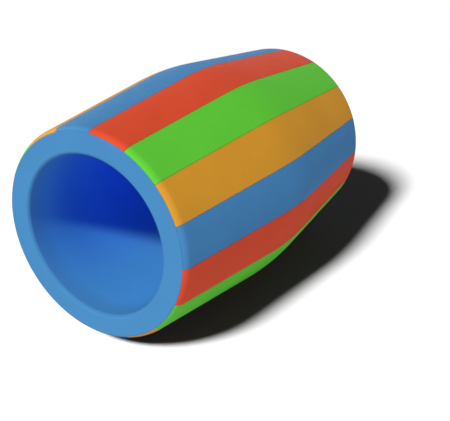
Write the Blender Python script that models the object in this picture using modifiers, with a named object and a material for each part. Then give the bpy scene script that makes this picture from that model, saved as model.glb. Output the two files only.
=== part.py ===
"""Soft play barrel: a foam barrel that children crawl through, in a zipped vinyl cover.

The barrel lies on its side. Its axis runs along Y, at half the middle diameter above the
floor, and the world's origin is on the floor below its middle. Sixteen vinyl panels in four
colours run from end to end over sixteen foam staves. Every panel's edges are turned in, as
seam allowances, into slots in the staves. Towards each end the panels bend over a wide
shoulder, and a flat ring with a narrow rounded edge closes the end. A sleeve lines the
bore, and near the far mouth a coil zip runs round the bore, with a slider and a pull.

Turned pieces are worked out in their own frame, with the barrel's axis along local Z: a
point of a profile is a pair of radius and height. Each turned piece is a polygon whose flats
are at the stated radius, and all of them share the same corners, so that gaps stay even.
"""

import math

import bmesh
import bpy
from mathutils import Matrix, Vector

for thing in list(bpy.data.objects):
    bpy.data.objects.remove(thing, do_unlink=True)
parts = bpy.data.collections.new("soft_play_barrel")
guides = bpy.data.collections.new("guides")
for collection in (parts, guides):
    bpy.context.scene.collection.children.link(collection)

# Barrel
LENGTH = 1.200
MIDDLE_DIAMETER = 0.800
END_DIAMETER = 0.696
# From the bore to the end's outer rim: foam with the cover round it.
END_WALL = 0.083
CROWN_RADIUS = 1.100
SHOULDER_RADIUS = 0.038
RING_EDGE_RADIUS = 0.006
BORE_EDGE_RADIUS = 0.013

# Panels and staves
PANEL_COUNT = 16
FACETS_PER_PANEL = 3
CROWN_FACETS = 3
# The facets between a seam's facet and the next flat: on the shoulder, and on the ring's
# and the bore's edges, where with none the seam's facet meets the flats.
SHOULDER_FACETS = 1
HALF_EDGE_FACETS = 0

# Cover
VINYL = 0.0010
SEAM_ALLOWANCE = 0.0080
GAP = 0.0003

# Zip
COLLAR_WIDTH = 0.035
TAPE_WIDTH = 0.017
TAPE_THICKNESS = 0.0008
COIL_WIDTH = 0.0036
COIL_HEIGHT = 0.0026
# The facets of the full turn that the zip's two ends leave free.
ZIP_END_FACETS = 2
STOP_LENGTH = 0.0030
STOP_RISE = 0.0016
STOP_EDGE = 0.0004

# Zip slider and pull
RUNNING_CLEARANCE = 0.0004
STOP_CLEARANCE = 0.0005
SLIDER_LENGTH = 0.0160
SLIDER_FLARE = 0.0009
SLIDER_NOSE_ROUNDING = 0.0032
SLIDER_PLATE = 0.0012
SLIDER_WALL = 0.0009
SLIDER_TO_VINYL = 0.0011
NECK_WIDTH = 0.0014
NECK_LENGTH = 0.0030
NECK_SETBACK = 0.0010
BAIL_LENGTH = 0.0105
BAIL_WIDTH = 0.0024
BAIL_THICKNESS = 0.0010
BAIL_SHOULDER = 0.0026
PULL_BAR = 0.0012
PULL_LENGTH = 0.0300
PULL_WIDTH = 0.0086
PULL_THICKNESS = 0.0014
PULL_CORNER = 0.0026
PULL_REST_TILT = math.radians(2)

# Finish: colour, roughness and metallic value
VINYL_ROUGHNESS = 0.45
FOAM_FINISH = ((0.75, 0.72, 0.62), 0.95, 0.0)
TAPE_FINISH = ((0.03, 0.10, 0.26), 0.9, 0.0)
COIL_FINISH = ((0.03, 0.10, 0.26), 0.4, 0.0)
ZIP_METAL_FINISH = ((0.55, 0.56, 0.58), 0.3, 1.0)
COLOURS = {
    "red": (0.60, 0.080, 0.035),
    "green": (0.112, 0.52, 0.044),
    "orange": (0.55, 0.26, 0.028),
    "blue": (0.061, 0.243, 0.51),
}
PANEL_COLOURS = ["red", "green", "orange", "blue"]

# Worked out from the sizes above
HALF = LENGTH / 2
END_R = END_DIAMETER / 2
MIDDLE_R = MIDDLE_DIAMETER / 2
BORE_R = END_R - END_WALL
PANEL_ANGLE = 2 * math.pi / PANEL_COUNT
FACET = PANEL_ANGLE / FACETS_PER_PANEL
TURN_FACETS = PANEL_COUNT * FACETS_PER_PANEL
CORNER = 1 / math.cos(FACET / 2)
# The barrel rests on the middle facet of a panel, so its top seam is half a facet off.
FIRST_SEAM = FACET / 2 - math.pi / 2
# How far the foam's surface lies under the cover's.
UNDER = VINYL + GAP
# How deep the slots are that take the seam allowances.
SLOT = SEAM_ALLOWANCE + GAP


def cone_angle():
    """The slope of the cones: each passes through the end's rim and touches the crown arc."""
    rise = CROWN_RADIUS - (MIDDLE_R - END_R)
    return math.atan2(HALF, rise) - math.acos(CROWN_RADIUS / math.hypot(rise, HALF))


CONE = cone_angle()
# Each seam is halfway round its edge; its angle runs from the radius direction towards the
# height. At the rim's seam the shoulder passes into the ring's edge, so the two have their
# centres on one line with it, and the shoulder touches the cone.
RIM_SEAM = (math.pi / 2 + CONE) / 2
RIM_Z = HALF - RING_EDGE_RADIUS
SHOULDER_Z = RIM_Z - (SHOULDER_RADIUS - RING_EDGE_RADIUS) * math.sin(RIM_SEAM)
CONE_R = END_R + (HALF - SHOULDER_Z) * math.tan(CONE)
SHOULDER_R = CONE_R - SHOULDER_RADIUS / math.cos(CONE)
RIM_R = SHOULDER_R + (SHOULDER_RADIUS - RING_EDGE_RADIUS) * math.cos(RIM_SEAM)
MOUTH_R = BORE_R + BORE_EDGE_RADIUS
MOUTH_Z = HALF - BORE_EDGE_RADIUS
MOUTH_SEAM = 3 * math.pi / 4
SLOT_HALF_WIDTH = GAP / 2 + UNDER
# Across the zip: half the way between the coils, the slider round them, the opening round that.
ZIP_WAY = NECK_WIDTH / 2 + RUNNING_CLEARANCE
SLIDER_TAIL_WIDTH = 2 * (ZIP_WAY + COIL_WIDTH + RUNNING_CLEARANCE + SLIDER_WALL)
SLIDER_NOSE_WIDTH = SLIDER_TAIL_WIDTH + 2 * SLIDER_FLARE
ZIP_OPENING = SLIDER_NOSE_WIDTH + 2 * SLIDER_TO_VINYL
# Where the zip lies: the middle of its chain along the barrel, and its layers by radius.
ZIP_Z = MOUTH_Z - COLLAR_WIDTH - ZIP_OPENING / 2
TAPE_R = BORE_R + UNDER
TAPE_BACK_R = TAPE_R + TAPE_THICKNESS
COIL_BACK_R = TAPE_R - GAP
COIL_R = COIL_BACK_R - COIL_HEIGHT
# The slider's face plate is over the coils, and its back plate is under the tapes' corners.
FACE_R = COIL_R - RUNNING_CLEARANCE
BACK_R = TAPE_BACK_R * CORNER + RUNNING_CLEARANCE
CHANNEL_R = math.hypot(BACK_R + SLIDER_PLATE, SLIDER_LENGTH / 2) + RUNNING_CLEARANCE
# Angles round local Z. The zip starts on the resting side and runs nearly all the way round.
ZIP_FACETS = TURN_FACETS - ZIP_END_FACETS
COIL_START = math.pi / 2 - FACET / 2
COIL_END = COIL_START + ZIP_FACETS * FACET
STOP_OFFSET = (GAP + STOP_LENGTH / 2) / COIL_R
SLIDER_TURN = COIL_START + (STOP_CLEARANCE + SLIDER_LENGTH / 2 - GAP) / COIL_R
# The pull's bar turns inside the bail, so its corners' reach sets the room it is given.
BAR_ROOM = math.hypot(PULL_BAR, PULL_THICKNESS) / 2 + RUNNING_CLEARANCE
PIVOT_R = FACE_R - SLIDER_PLATE - BAR_ROOM
BAIL_RISE = 2 * BAR_ROOM + BAIL_THICKNESS


def arc(centre, radius, start, end, facets):
    """Corners of the straight facets that touch an arc; the stretches before and after
    the arc touch it too. Angles run from the radius direction towards the height."""
    step = (end - start) / (facets + 1)
    reach = radius / math.cos(step / 2)
    points = []
    for i in range(facets + 1):
        angle = start + (i + 0.5) * step
        points.append((centre[0] + reach * math.cos(angle), centre[1] + reach * math.sin(angle)))
    return points


def shoulder_arc(inset):
    """The far shoulder, from the rim's seam to the cone, moved in by inset."""
    centre = (SHOULDER_R, SHOULDER_Z)
    return arc(centre, SHOULDER_RADIUS - inset, RIM_SEAM, CONE, SHOULDER_FACETS)


def ring_edge_arc(inset):
    """The far ring's outer edge, from the flat end to the rim's seam, moved in by inset."""
    centre = (RIM_R, RIM_Z)
    return arc(centre, RING_EDGE_RADIUS - inset, math.pi / 2, RIM_SEAM, HALF_EDGE_FACETS)


def mouth_arc(inset, start, end):
    """Part of the far rounded bore edge, moved in by inset."""
    return arc((MOUTH_R, MOUTH_Z), BORE_EDGE_RADIUS - inset, start, end, HALF_EDGE_FACETS)


def side(inset):
    """The barrel's side from the far rim's seam to the near rim's, moved in by inset."""
    shoulder = shoulder_arc(inset)
    crown_centre = (MIDDLE_R - CROWN_RADIUS, 0)
    crown = arc(crown_centre, CROWN_RADIUS - inset, CONE, -CONE, CROWN_FACETS)
    return shoulder + crown + mirrored(shoulder)


def end_face(inset):
    """The far end from the mouth's seam to the rim's seam, moved in by inset."""
    return mouth_arc(inset, MOUTH_SEAM, math.pi / 2) + ring_edge_arc(inset)


def beside_seam(angle, radius, along):
    """A point of a rounded edge by its seam: at a radius from the edge's centre, and moved
    square to that by along, the way in which angles rise."""
    return (
        radius * math.cos(angle) - along * math.sin(angle),
        radius * math.sin(angle) + along * math.cos(angle),
    )


def rim_seam(inset, towards_end):
    """A point by the far rim's seam, moved in by inset and along the surface to the end."""
    r, z = beside_seam(RIM_SEAM, RING_EDGE_RADIUS - inset, towards_end)
    return RIM_R + r, RIM_Z + z


def mouth_seam(inset, towards_bore):
    """A point by the far mouth's seam, moved in by inset and along the surface to the bore."""
    r, z = beside_seam(MOUTH_SEAM, BORE_EDGE_RADIUS - inset, towards_bore)
    return MOUTH_R + r, MOUTH_Z + z


def mirrored(points):
    """The same points at the other end of the barrel, in the opposite order."""
    return [(r, -z) for r, z in reversed(points)]


def corner(radius, height):
    """A point of a profile as a corner of the turned polygon."""
    return Vector((radius * CORNER, 0, height))


def material(name, finish):
    colour, roughness, metallic = finish
    made = bpy.data.materials.new(name)
    made.use_nodes = True
    shader = made.node_tree.nodes["Principled BSDF"]
    shader.inputs["Base Color"].default_value = (*colour, 1)
    shader.inputs["Roughness"].default_value = roughness
    shader.inputs["Metallic"].default_value = metallic
    return made


def empty(name, parent=None, location=(0, 0, 0), rotation=(0, 0, 0)):
    thing = bpy.data.objects.new(name, None)
    thing.parent = parent
    thing.location = location
    thing.rotation_euler = rotation
    guides.objects.link(thing)
    return thing


def new_object(name, mesh, parent, turn=0.0, finish=None):
    """An object on the barrel's axis, turned about it. A finish goes on this object alone."""
    thing = bpy.data.objects.new(name, mesh)
    parts.objects.link(thing)
    thing.parent = parent
    thing.rotation_euler = (0, 0, turn)
    if finish and not mesh.materials:
        mesh.materials.append(None)
    if finish:
        thing.material_slots[0].link = "OBJECT"
        thing.material_slots[0].material = finish
    return thing


def mesh_from(bm, name):
    mesh = bpy.data.meshes.new(name)
    bm.to_mesh(mesh)
    bm.free()
    return mesh


def smooth(mesh):
    mesh.shade_smooth()
    mesh.set_sharp_from_angle(angle=math.radians(30))
    return mesh


def evaluated_mesh(thing, name):
    """The mesh that an object's modifiers make; the object itself is removed."""
    graph = bpy.context.evaluated_depsgraph_get()
    mesh = bpy.data.meshes.new_from_object(thing.evaluated_get(graph))
    mesh.name = name
    bpy.data.objects.remove(thing, do_unlink=True)
    return mesh


def solidify(thing, thickness):
    """Gives an open surface its thickness, on the side away from its normals."""
    wall = thing.modifiers.new("thickness", "SOLIDIFY")
    wall.thickness = thickness
    wall.offset = -1
    wall.use_even_offset = True


def turned_solid(name, outline, start, sweep, steps):
    """A closed outline turned part of the way round local Z, with flat ends."""
    bm = bmesh.new()
    corners = [bm.verts.new(corner(r, z)) for r, z in outline]
    bm.faces.new(corners)
    bmesh.ops.rotate(bm, verts=bm.verts, cent=(0, 0, 0), matrix=Matrix.Rotation(start, 3, "Z"))
    bmesh.ops.spin(
        bm,
        geom=bm.verts[:] + bm.edges[:] + bm.faces[:],
        cent=(0, 0, 0),
        axis=(0, 0, 1),
        angle=sweep,
        steps=steps,
    )
    bmesh.ops.recalc_face_normals(bm, faces=bm.faces)
    return mesh_from(bm, name)


def turned_shell(name, profile, thickness, parent, finish):
    """A profile turned all the way round with a Screw, then given its thickness."""
    bm = bmesh.new()
    points = [bm.verts.new(corner(r, z)) for r, z in profile]
    for first, second in zip(points, points[1:]):
        bm.edges.new((first, second))
    thing = new_object(name, mesh_from(bm, name), parent, FIRST_SEAM)
    thing.data.materials.append(finish)
    screw = thing.modifiers.new("turn", "SCREW")
    screw.steps = TURN_FACETS
    screw.render_steps = TURN_FACETS
    screw.use_merge_vertices = True
    screw.merge_threshold = 0.00001
    screw.use_smooth_shade = True
    solidify(thing, thickness)
    return thing


def panel_mesh():
    """A cover panel: its face runs from rim seam to rim seam, and all four edges turn in.

    The side line is turned through one panel's angle. The two long edges are then
    extruded to the same line moved in by the seam allowance.
    """

    def seam_to_seam(inset):
        end = [rim_seam(inset, -GAP / 2)]
        return end + side(inset) + mirrored(end)

    line, inner = seam_to_seam(0), seam_to_seam(SEAM_ALLOWANCE)
    seam_angle = GAP / MIDDLE_R
    sweep = PANEL_ANGLE - seam_angle
    bm = bmesh.new()
    points = [bm.verts.new(corner(r, z)) for r, z in [inner[0]] + line + [inner[-1]]]
    for first, second in zip(points, points[1:]):
        bm.edges.new((first, second))
    start = Matrix.Rotation(seam_angle / 2, 3, "Z")
    bmesh.ops.rotate(bm, verts=bm.verts, cent=(0, 0, 0), matrix=start)
    bmesh.ops.spin(
        bm,
        geom=bm.verts[:] + bm.edges[:],
        cent=(0, 0, 0),
        axis=(0, 0, 1),
        angle=sweep,
        steps=FACETS_PER_PANEL,
    )
    for angle in (seam_angle / 2, seam_angle / 2 + sweep):
        turn = Matrix.Rotation(angle, 3, "Z")
        edge = [turn @ corner(r, z) for r, z in line]
        target = [turn @ corner(r, z) for r, z in inner]
        turn_in(bm, edge, target)
    bmesh.ops.remove_doubles(bm, verts=bm.verts, dist=0.00001)
    bmesh.ops.recalc_face_normals(bm, faces=bm.faces)
    return smooth(mesh_from(bm, "cover_panel"))


def turn_in(bm, edge, target):
    """Extrudes the boundary edges that run along one line of points to another line."""
    near = 0.00001

    def place(vert):
        return next((i for i, p in enumerate(edge) if (vert.co - p).length < near), None)

    along = [
        e
        for e in bm.edges
        if e.is_boundary and all(place(v) is not None for v in e.verts)
    ]
    made = bmesh.ops.extrude_edge_only(bm, edges=along)["geom"]
    for vert in made:
        if isinstance(vert, bmesh.types.BMVert):
            vert.co = target[place(vert)]


def add_panels(axis):
    mesh = panel_mesh()
    for i in range(PANEL_COUNT):
        colour = PANEL_COLOURS[i % len(PANEL_COLOURS)]
        name = f"cover_panel_{i + 1:02d}_{colour}"
        finish = material(name, (COLOURS[colour], VINYL_ROUGHNESS, 0.0))
        panel = new_object(name, mesh, axis, FIRST_SEAM + i * PANEL_ANGLE, finish)
        solidify(panel, VINYL)


def foam_foot():
    """The stave's outline up to the bottom of the slots between the panels, with its whole
    ends, the slots that take the end seams, and the channel that the zip lies in."""
    mouth_slot = [
        mouth_seam(UNDER, SLOT_HALF_WIDTH),
        mouth_seam(SLOT, SLOT_HALF_WIDTH),
        mouth_seam(SLOT, -SLOT_HALF_WIDTH),
        mouth_seam(UNDER, -SLOT_HALF_WIDTH),
    ]
    rim_slot = [rim_seam(UNDER, SLOT_HALF_WIDTH), rim_seam(SLOT, SLOT_HALF_WIDTH)]
    far_end = mouth_arc(UNDER, math.pi, MOUTH_SEAM) + mouth_slot + end_face(UNDER) + rim_slot
    bore = BORE_R + UNDER
    channel = [
        (bore, ZIP_Z - TAPE_WIDTH - GAP),
        (CHANNEL_R, ZIP_Z - TAPE_WIDTH - GAP),
        (CHANNEL_R, ZIP_Z + TAPE_WIDTH + GAP),
        (bore, ZIP_Z + TAPE_WIDTH + GAP),
    ]
    return channel + far_end + side(SLOT) + mirrored(far_end)


def foam_shoulder():
    """The stave's outline between the rim slots, which fills the panel. It reaches down
    into the foot."""
    end = [rim_seam(SLOT + UNDER, -SLOT_HALF_WIDTH), rim_seam(UNDER, -SLOT_HALF_WIDTH)]
    return end + side(UNDER) + mirrored(end)


def stave_mesh():
    """A foam stave: a wedge whose upper part is narrower and shorter by the seam slots."""
    foot_seam = GAP / 2 / (BORE_R + UNDER)
    foot_sweep = PANEL_ANGLE - 2 * foot_seam
    foot = turned_solid("foot", foam_foot(), foot_seam, foot_sweep, FACETS_PER_PANEL)
    slot_angle = SLOT_HALF_WIDTH / RIM_R
    sweep = PANEL_ANGLE - 2 * slot_angle
    shoulder = turned_solid("shoulder", foam_shoulder(), slot_angle, sweep, FACETS_PER_PANEL)
    base = bpy.data.objects.new("stave_foot", foot)
    upper = bpy.data.objects.new("stave_shoulder", shoulder)
    for thing in (base, upper):
        guides.objects.link(thing)
    joined = base.modifiers.new("shoulder", "BOOLEAN")
    joined.operation = "UNION"
    joined.solver = "EXACT"
    joined.object = upper
    bpy.context.view_layer.update()
    mesh = evaluated_mesh(base, "foam_stave")
    bpy.data.objects.remove(upper, do_unlink=True)
    return smooth(mesh)


def add_staves(axis):
    mesh = stave_mesh()
    for i in range(PANEL_COUNT):
        name = f"foam_stave_{i + 1:02d}"
        turn = FIRST_SEAM + i * PANEL_ANGLE
        new_object(name, mesh, axis, turn, material(name, FOAM_FINISH))


def add_ends_and_liner(axis):
    blue = (COLOURS["blue"], VINYL_ROUGHNESS, 0.0)
    mouth_edge = [mouth_seam(SEAM_ALLOWANCE, -GAP / 2), mouth_seam(0, -GAP / 2)]
    rim_edge = [rim_seam(0, GAP / 2), rim_seam(SEAM_ALLOWANCE, GAP / 2)]
    far_ring = mouth_edge + end_face(0) + rim_edge
    for name, profile in (("end_ring_near", mirrored(far_ring)), ("end_ring_far", far_ring)):
        turned_shell(name, profile, VINYL, axis, material(name, blue))
    seam = [mouth_seam(0, GAP / 2), mouth_seam(SEAM_ALLOWANCE, GAP / 2)]
    mouth = mouth_arc(0, math.pi, MOUTH_SEAM) + seam
    liner = mirrored(mouth) + [(BORE_R, ZIP_Z - ZIP_OPENING / 2)]
    collar = [(BORE_R, ZIP_Z + ZIP_OPENING / 2)] + mouth
    for name, profile in (("bore_liner", liner), ("bore_collar", collar)):
        turned_shell(name, profile, VINYL, axis, material(name, blue))


def add_tapes_and_coils(axis):
    for name, side in (("near", -1), ("far", 1)):
        edges = sorted((ZIP_Z + side * ZIP_WAY, ZIP_Z + side * TAPE_WIDTH))
        tape = f"zip_tape_{name}"
        profile = [(TAPE_R, z) for z in edges]
        turned_shell(tape, profile, TAPE_THICKNESS, axis, material(tape, TAPE_FINISH))
        coil = f"zip_coil_{name}"
        inner = ZIP_Z + side * ZIP_WAY
        outer = inner + side * COIL_WIDTH
        chamfer = side * COIL_HEIGHT / 4
        outline = [
            (COIL_BACK_R, inner),
            (COIL_BACK_R, outer),
            (COIL_R + COIL_HEIGHT / 2, outer),
            (COIL_R, outer - chamfer),
            (COIL_R, inner + chamfer),
            (COIL_R + COIL_HEIGHT / 2, inner),
        ]
        mesh = turned_solid(coil, outline, COIL_START, COIL_END - COIL_START, ZIP_FACETS)
        new_object(coil, smooth(mesh), axis, 0, material(coil, COIL_FINISH))


def box_mesh(name, low, high, bevel=0.0):
    """A box between two corners, with its edges bevelled."""
    bm = bmesh.new()
    bmesh.ops.create_cube(bm, size=1)
    size = Vector(high) - Vector(low)
    middle = (Vector(high) + Vector(low)) / 2
    bmesh.ops.scale(bm, verts=bm.verts, vec=size)
    bmesh.ops.translate(bm, verts=bm.verts, vec=middle)
    if bevel:
        bmesh.ops.bevel(bm, geom=bm.edges[:], offset=bevel, segments=1, affect="EDGES")
    return mesh_from(bm, name)


def add_stops(axis):
    """The top stops, one on each tape before the coils begin, and the bottom stop across
    both tapes where they end. Each is higher than the coils, so the slider meets it."""
    low_r = COIL_R - STOP_RISE
    reach = ZIP_WAY + COIL_WIDTH
    half = STOP_LENGTH / 2
    places = {
        "zip_top_stop_near": (-reach, -ZIP_WAY, COIL_START - STOP_OFFSET),
        "zip_top_stop_far": (ZIP_WAY, reach, COIL_START - STOP_OFFSET),
        "zip_bottom_stop": (-reach, reach, COIL_END + STOP_OFFSET),
    }
    for name, (start, end, turn) in places.items():
        low = (low_r, -half, ZIP_Z + start)
        high = (COIL_BACK_R, half, ZIP_Z + end)
        mesh = box_mesh(name, low, high, bevel=STOP_EDGE)
        new_object(name, mesh, axis, turn, material(name, ZIP_METAL_FINISH))


def slab(name, outline, low_r, high_r):
    """A flat outline of (along the zip, across it) points, given a thickness in radius."""
    bm = bmesh.new()
    bm.faces.new([bm.verts.new((low_r, s, z)) for s, z in outline])
    made = bmesh.ops.extrude_face_region(bm, geom=bm.faces[:])["geom"]
    lifted = [v for v in made if isinstance(v, bmesh.types.BMVert)]
    bmesh.ops.translate(bm, verts=lifted, vec=(high_r - low_r, 0, 0))
    bmesh.ops.recalc_face_normals(bm, faces=bm.faces)
    return mesh_from(bm, name)


def slider_outline(shrink=0.0):
    """The slider seen from the bore: a wide nose that tapers to a narrower tail."""
    nose = SLIDER_NOSE_WIDTH / 2 - shrink
    tail = SLIDER_TAIL_WIDTH / 2 - shrink
    half = SLIDER_LENGTH / 2
    front = nose - SLIDER_NOSE_ROUNDING * 2 / 3
    return [
        (-half, -front),
        (SLIDER_NOSE_ROUNDING - half, -nose),
        (0, -tail),
        (half, -tail),
        (half, tail),
        (0, tail),
        (SLIDER_NOSE_ROUNDING - half, nose),
        (-half, front),
    ]


def side_wall(side):
    """The turned-down edge of the face plate, along the slider's straight stretch."""
    tail = side * SLIDER_TAIL_WIDTH / 2
    inner = tail - side * SLIDER_WALL
    half = SLIDER_LENGTH / 2
    return [(0, tail), (0, inner), (half, inner), (half, tail)]


def bail_mesh():
    """The arched bridge on the face plate that the pull hangs on: legs and a straight top."""
    half = BAIL_LENGTH / 2
    top = FACE_R - SLIDER_PLATE - BAIL_RISE
    foot = FACE_R - SLIDER_PLATE / 2
    shoulder = BAIL_SHOULDER
    outline = [
        (foot, -half),
        (top + shoulder, -half),
        (top, -half + shoulder),
        (top, half - shoulder),
        (top + shoulder, half),
        (foot, half),
        (foot, half - BAIL_THICKNESS),
        (top + shoulder, half - BAIL_THICKNESS),
        (top + BAIL_THICKNESS, half - shoulder - BAIL_THICKNESS / 2),
        (top + BAIL_THICKNESS, -half + shoulder + BAIL_THICKNESS / 2),
        (top + shoulder, -half + BAIL_THICKNESS),
        (foot, -half + BAIL_THICKNESS),
    ]
    bm = bmesh.new()
    bm.faces.new([bm.verts.new((r, s, ZIP_Z - BAIL_WIDTH / 2)) for r, s in outline])
    made = bmesh.ops.extrude_face_region(bm, geom=bm.faces[:])["geom"]
    lifted = [v for v in made if isinstance(v, bmesh.types.BMVert)]
    bmesh.ops.translate(bm, verts=lifted, vec=(0, 0, BAIL_WIDTH))
    bmesh.ops.recalc_face_normals(bm, faces=bm.faces)
    return mesh_from(bm, "bail")


def joined(name, meshes):
    """One mesh from several that overlap, joined by Boolean unions."""
    things = [bpy.data.objects.new(f"{name}_{i}", mesh) for i, mesh in enumerate(meshes)]
    for thing in things:
        guides.objects.link(thing)
    for other in things[1:]:
        union = things[0].modifiers.new(other.name, "BOOLEAN")
        union.operation = "UNION"
        union.solver = "EXACT"
        union.object = other
    bpy.context.view_layer.update()
    mesh = evaluated_mesh(things[0], name)
    for other in things[1:]:
        bpy.data.objects.remove(other, do_unlink=True)
    return mesh


def shifted(outline):
    """An outline of (along, across) points, moved to the zip's place along the barrel."""
    return [(s, ZIP_Z + z) for s, z in outline]


def add_slider(run):
    """Face plate, turned-down walls, back plate, the neck between them, and the bail."""
    overlap = SLIDER_PLATE / 2
    neck = NECK_WIDTH / 2
    front = NECK_SETBACK - SLIDER_LENGTH / 2
    neck_outline = [
        (front, -neck),
        (front + NECK_LENGTH, -neck),
        (front + NECK_LENGTH, neck),
        (front, neck),
    ]
    wall_end = TAPE_R - RUNNING_CLEARANCE
    meshes = [
        slab("face", shifted(slider_outline()), FACE_R - SLIDER_PLATE, FACE_R),
        slab("back", shifted(slider_outline(SLIDER_WALL)), BACK_R, BACK_R + SLIDER_PLATE),
        slab("neck", shifted(neck_outline), FACE_R - overlap, BACK_R + overlap),
        slab("wall_near", shifted(side_wall(-1)), FACE_R - overlap, wall_end),
        slab("wall_far", shifted(side_wall(1)), FACE_R - overlap, wall_end),
        bail_mesh(),
    ]
    mesh = joined("zip_slider", meshes)
    new_object("zip_slider", mesh, run, 0, material("zip_slider", ZIP_METAL_FINISH))


def add_pull(run):
    """The pull: a bar through the bail, two arms beside it and a rounded tab. At rest it
    lies back along the closed zip, tilted clear of the curve of the bore."""
    hinge = empty("zip_pull_hinge", run, (PIVOT_R, 0, ZIP_Z), (0, 0, PULL_REST_TILT))
    half = PULL_WIDTH / 2
    bar = PULL_BAR / 2
    tip = PULL_LENGTH - PULL_CORNER
    outline = [
        (-bar, -half),
        (tip, -half),
        (PULL_LENGTH, PULL_CORNER - half),
        (PULL_LENGTH, half - PULL_CORNER),
        (tip, half),
        (-bar, half),
    ]
    plate = slab("tab", outline, -PULL_THICKNESS / 2, PULL_THICKNESS / 2)
    # The eye clears the bail's width, and reaches to where the pull leaves the slider.
    eye = BAIL_WIDTH / 2 + 2 * RUNNING_CLEARANCE
    eye_low = (-PULL_THICKNESS, bar, -eye)
    eye_high = (PULL_THICKNESS, SLIDER_LENGTH / 2, eye)
    cutter = bpy.data.objects.new("pull_eye", box_mesh("pull_eye", eye_low, eye_high))
    cutter.parent = hinge
    cutter.hide_render = True
    cutter.display_type = "WIRE"
    guides.objects.link(cutter)
    pull = new_object("zip_pull", plate, hinge, 0, material("zip_pull", ZIP_METAL_FINISH))
    cut = pull.modifiers.new("eye", "BOOLEAN")
    cut.operation = "DIFFERENCE"
    cut.solver = "EXACT"
    cut.object = cutter


def build():
    # Local Z becomes the world's Y, and the barrel's lowest facet touches the floor.
    axis = empty("barrel_axis", None, (0, 0, MIDDLE_R), (-math.pi / 2, 0, 0))
    add_panels(axis)
    add_ends_and_liner(axis)
    add_staves(axis)
    add_tapes_and_coils(axis)
    add_stops(axis)
    run = empty("zip_run", axis, (0, 0, 0), (0, 0, SLIDER_TURN))
    add_slider(run)
    add_pull(run)


build()
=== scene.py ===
# %% [markdown]
# # A soft play barrel
#
# A foam barrel that children crawl through and roll about. It lies on its side: sixteen
# vinyl stripes in four colours are sewn into a cover, a flat ring closes each end, a sleeve
# lines the bore, and near the far mouth a coil zip runs round the bore.
#
# The rigid model is loaded first, as a fixed frame. Everything soft is then made again in
# its place, because cloth has rolled edges, puckers and grain that solids leave out.

import math

import bpy
import numpy as np
from mathutils import Matrix, Vector


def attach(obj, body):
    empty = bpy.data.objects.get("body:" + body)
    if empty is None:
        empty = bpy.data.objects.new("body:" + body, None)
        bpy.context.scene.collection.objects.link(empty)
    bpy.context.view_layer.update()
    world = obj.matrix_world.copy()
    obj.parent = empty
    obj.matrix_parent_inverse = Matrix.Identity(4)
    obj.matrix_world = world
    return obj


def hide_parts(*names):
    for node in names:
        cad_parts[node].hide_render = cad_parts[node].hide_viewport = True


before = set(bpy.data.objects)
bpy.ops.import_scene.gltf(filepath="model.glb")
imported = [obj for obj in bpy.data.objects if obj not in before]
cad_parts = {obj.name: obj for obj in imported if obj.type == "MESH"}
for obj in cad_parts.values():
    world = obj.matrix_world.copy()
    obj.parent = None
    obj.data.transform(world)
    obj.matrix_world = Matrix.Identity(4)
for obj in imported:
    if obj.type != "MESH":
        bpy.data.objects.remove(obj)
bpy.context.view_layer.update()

# %% [markdown]
# ## The sizes
#
# The barrel's axis lies along Y. A point on it is given by its radius from the axis, its
# angle round the axis and its place along Y, so most shapes below are a line of radius and
# place, swept through an angle. All lengths are in metres.

# %% The barrel's sizes
LENGTH = 1.200
MIDDLE_RADIUS = 0.400
END_RADIUS = 0.348
BORE_RADIUS = 0.265
# The radii of its curves: the crown, the panels' shoulder, the ring's edge at the rim and
# the rounded edge of the mouth.
CROWN_RADIUS = 1.100
SHOULDER = 0.038
RING_EDGE = 0.006
BORE_EDGE = 0.013
HALF = LENGTH / 2
# The axis lies this high over the floor.
AXLE = MIDDLE_RADIUS

PANEL_COUNT = 16
PANEL_ANGLE = 2 * math.pi / PANEL_COUNT
FIRST_SEAM = math.radians(86.25)
COLOUR_ORDER = ["red", "green", "orange", "blue"]

# The vinyl's thickness, the gap between pieces, and how far below a face the next layer is.
VINYL = 0.0010
GAP = 0.0003
UNDER = VINYL + GAP
SEAM_ALLOWANCE = 0.008
print("panel width at the middle", round(MIDDLE_RADIUS * PANEL_ANGLE, 4))

# %% The zip's sizes
# The zip's middle along Y, its opening in the vinyl, and half the way between its coils.
ZIP_PLACE = 0.544
ZIP_OPENING = 0.016
ZIP_WAY = 0.0011
TAPE_WIDTH = 0.017
TAPE_THICKNESS = 0.0008
TAPE_RADIUS = BORE_RADIUS + UNDER
COIL_WIDTH = 0.0036
COIL_HEIGHT = 0.0026
COIL_BACK = TAPE_RADIUS - GAP
COIL_FACE = COIL_BACK - COIL_HEIGHT
COIL_START = math.radians(-86.25)
COIL_TURN = math.radians(345)
# The channel in the foam is as deep as the slider's lower plate reaches, and a bit more.
CHANNEL_RADIUS = 0.26979

# %% [markdown]
# ## The camera
#
# The photograph was taken from the near end's right and a little above. Its direction and
# focal length were found by matching the ends of the stripes, so the camera is written here
# as three directions and a distance.

# %% Camera
IMAGE_WIDTH = 450
FOCAL_PIXELS = 813.40
AZIMUTH, ELEVATION, TILT = (math.radians(a) for a in (32.792, 23.662, -1.108))
# The barrel's middle as the camera has it: metres to the right, upwards and ahead.
BARREL_IN_VIEW = Vector((-0.08716, 0.12530, 2.95290))

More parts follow.
